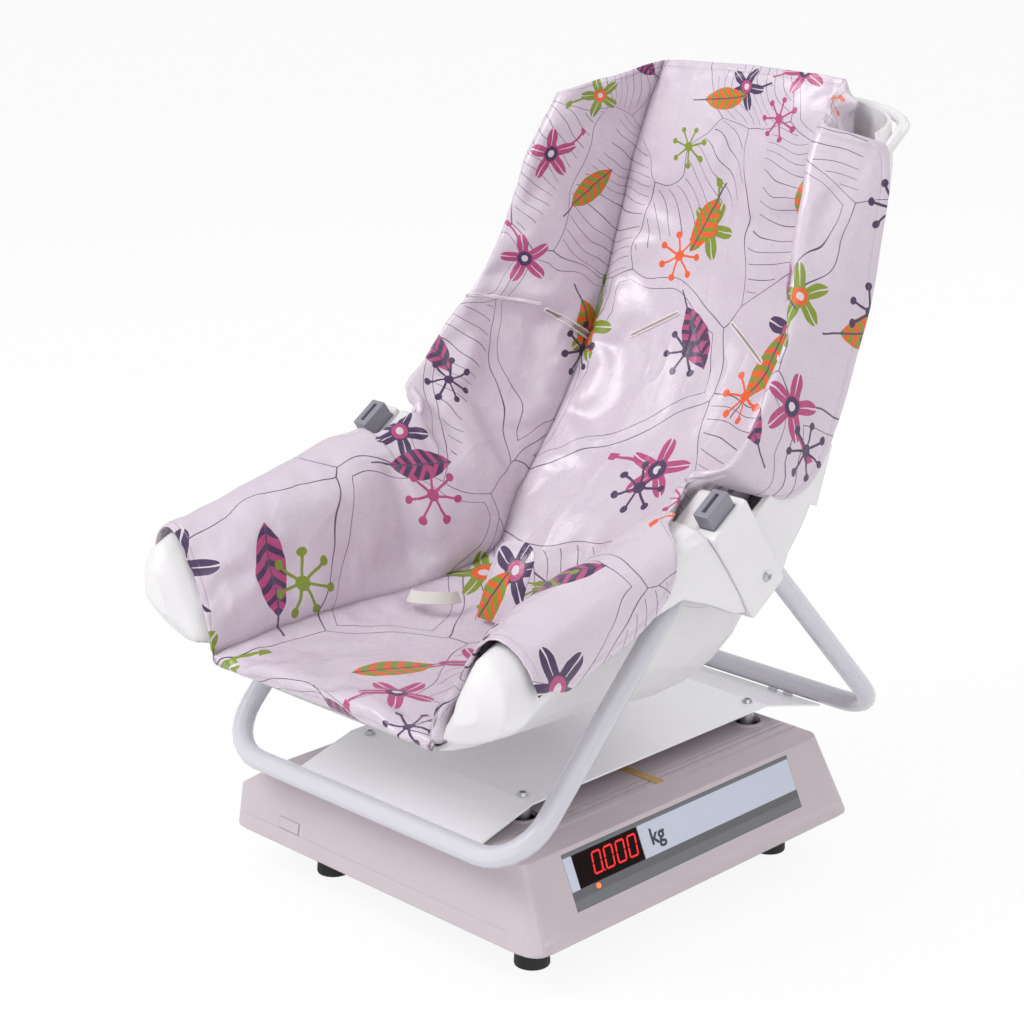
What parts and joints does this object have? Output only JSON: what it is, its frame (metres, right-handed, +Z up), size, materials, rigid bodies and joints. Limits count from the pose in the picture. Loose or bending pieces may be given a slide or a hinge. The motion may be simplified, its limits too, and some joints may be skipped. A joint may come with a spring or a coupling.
{
  "type": "baby scale",
  "caption": "Baby scale with a padded, reclining infant seat on a tubular stand above a boxed weighing base with a side display.",
  "frame": {"origin": "centre of the whole scale's footprint, on the surface the feet stand on", "axes": "+Z up; +X towards the end of the base with the display, the seated child's left; the child faces -Y"},
  "size_m": [0.4024, 0.5048, 0.5968],
  "materials": {
    "housing_plastic": "fine satin texture",
    "white_plastic": "semi-gloss",
    "white_paint": "gloss powder coat",
    "grey_plastic": "satin",
    "black_rubber": "matt",
    "zinc_steel": "zinc plated",
    "aluminium": "machined",
    "circuit_board": "solder resist",
    "overlay_film": "printed film, satin",
    "smoked_window": "smoked, polished",
    "red_digits": "lit segments",
    "amber_lens": "diffusing lens",
    "amber_tape": "thin film",
    "battery_wrap": "shrink wrap",
    "printed_vinyl": "semi-gloss printed vinyl",
    "white_webbing": "woven"
  },
  "bodies": {
    "base": {"upper_housing": "housing_plastic", "display_overlay": "overlay_film", "display_window": "smoked_window", "digit_module": "red_digits", "display_board": "circuit_board", "status_lamp": "amber_lens", "seal_strip": "amber_tape", "power_switch_frame": "grey_plastic", "power_jack": "grey_plastic", "base_plate": "housing_plastic", "main_board": "circuit_board", "battery_pack": "battery_wrap", "cell_spacer_fixed": "zinc_steel", "load_cell": "aluminium", "cell_spacer_live": "zinc_steel", "platform_spider": "zinc_steel", "platform_post_front_right": "aluminium", "platform_post_back_right": "aluminium", "platform_post_front_left": "aluminium", "platform_post_back_left": "aluminium", "tray_plate": "white_paint", "tray_screw_front_right": "zinc_steel", "tray_screw_back_right": "zinc_steel", "tray_screw_front_left": "zinc_steel", "tray_screw_back_left": "zinc_steel", "front_leg_tube": "white_paint", "rear_leg_tube": "white_paint", "hinge_block_right": "white_plastic", "hinge_cap_right": "white_plastic", "button_spring_right": "zinc_steel", "hinge_screw_right": "zinc_steel", "hinge_block_left": "white_plastic", "hinge_cap_left": "white_plastic", "button_spring_left": "zinc_steel", "hinge_screw_left": "zinc_steel", "seat_shell": "white_plastic", "seat_cover": "printed_vinyl", "crotch_pad": "printed_vinyl", "strap_loop": "white_webbing", "front_sticker": "white_plastic"},
    "foot_front_right_body": {"foot_front_right": "black_rubber"},
    "foot_front_left_body": {"foot_front_left": "black_rubber"},
    "foot_back_right_body": {"foot_back_right": "black_rubber"},
    "foot_back_left_body": {"foot_back_left": "black_rubber"},
    "rocker": {"power_rocker": "grey_plastic"},
    "button_right": {"release_button_right": "grey_plastic"},
    "button_left": {"release_button_left": "grey_plastic"},
    "backrest": {"backrest_shell": "white_plastic", "back_cover": "printed_vinyl"}
  },
  "joints": [
    {"name": "foot_front_right_turn", "type": "hinge", "parent": "base", "child": "foot_front_right_body", "pos_m": [-0.099, -0.1414, 0.02], "axis": [0, 0, 1], "continuous": true},
    {"name": "foot_back_right_turn", "type": "hinge", "parent": "base", "child": "foot_back_right_body", "pos_m": [-0.099, 0.1266, 0.02], "axis": [0, 0, 1], "continuous": true},
    {"name": "foot_front_left_turn", "type": "hinge", "parent": "base", "child": "foot_front_left_body", "pos_m": [0.115, -0.1414, 0.02], "axis": [0, 0, 1], "continuous": true},
    {"name": "foot_back_left_turn", "type": "hinge", "parent": "base", "child": "foot_back_left_body", "pos_m": [0.115, 0.1266, 0.02], "axis": [0, 0, 1], "continuous": true},
    {"name": "rocker_tilt", "type": "hinge", "parent": "base", "child": "rocker", "pos_m": [-0.16938, 0.0696, 0.049], "axis": [0, 0, -1], "range_deg": [0, 18]},
    {"name": "release_right", "type": "slide", "parent": "base", "child": "button_right", "axis": [0, 0.5592, -0.829], "range_m": [0, 0.005], "stiffness_N_per_m": 500, "deforming": ["button_spring_right"]},
    {"name": "release_left", "type": "slide", "parent": "base", "child": "button_left", "axis": [0, 0.5592, -0.829], "range_m": [0, 0.005], "stiffness_N_per_m": 500, "deforming": ["button_spring_left"]},
    {"name": "backrest_recline", "type": "hinge", "parent": "base", "child": "backrest", "pos_m": [0, 0.0206, 0.27], "axis": [-1, 0, 0], "range_deg": [0, 22]}
  ]
}
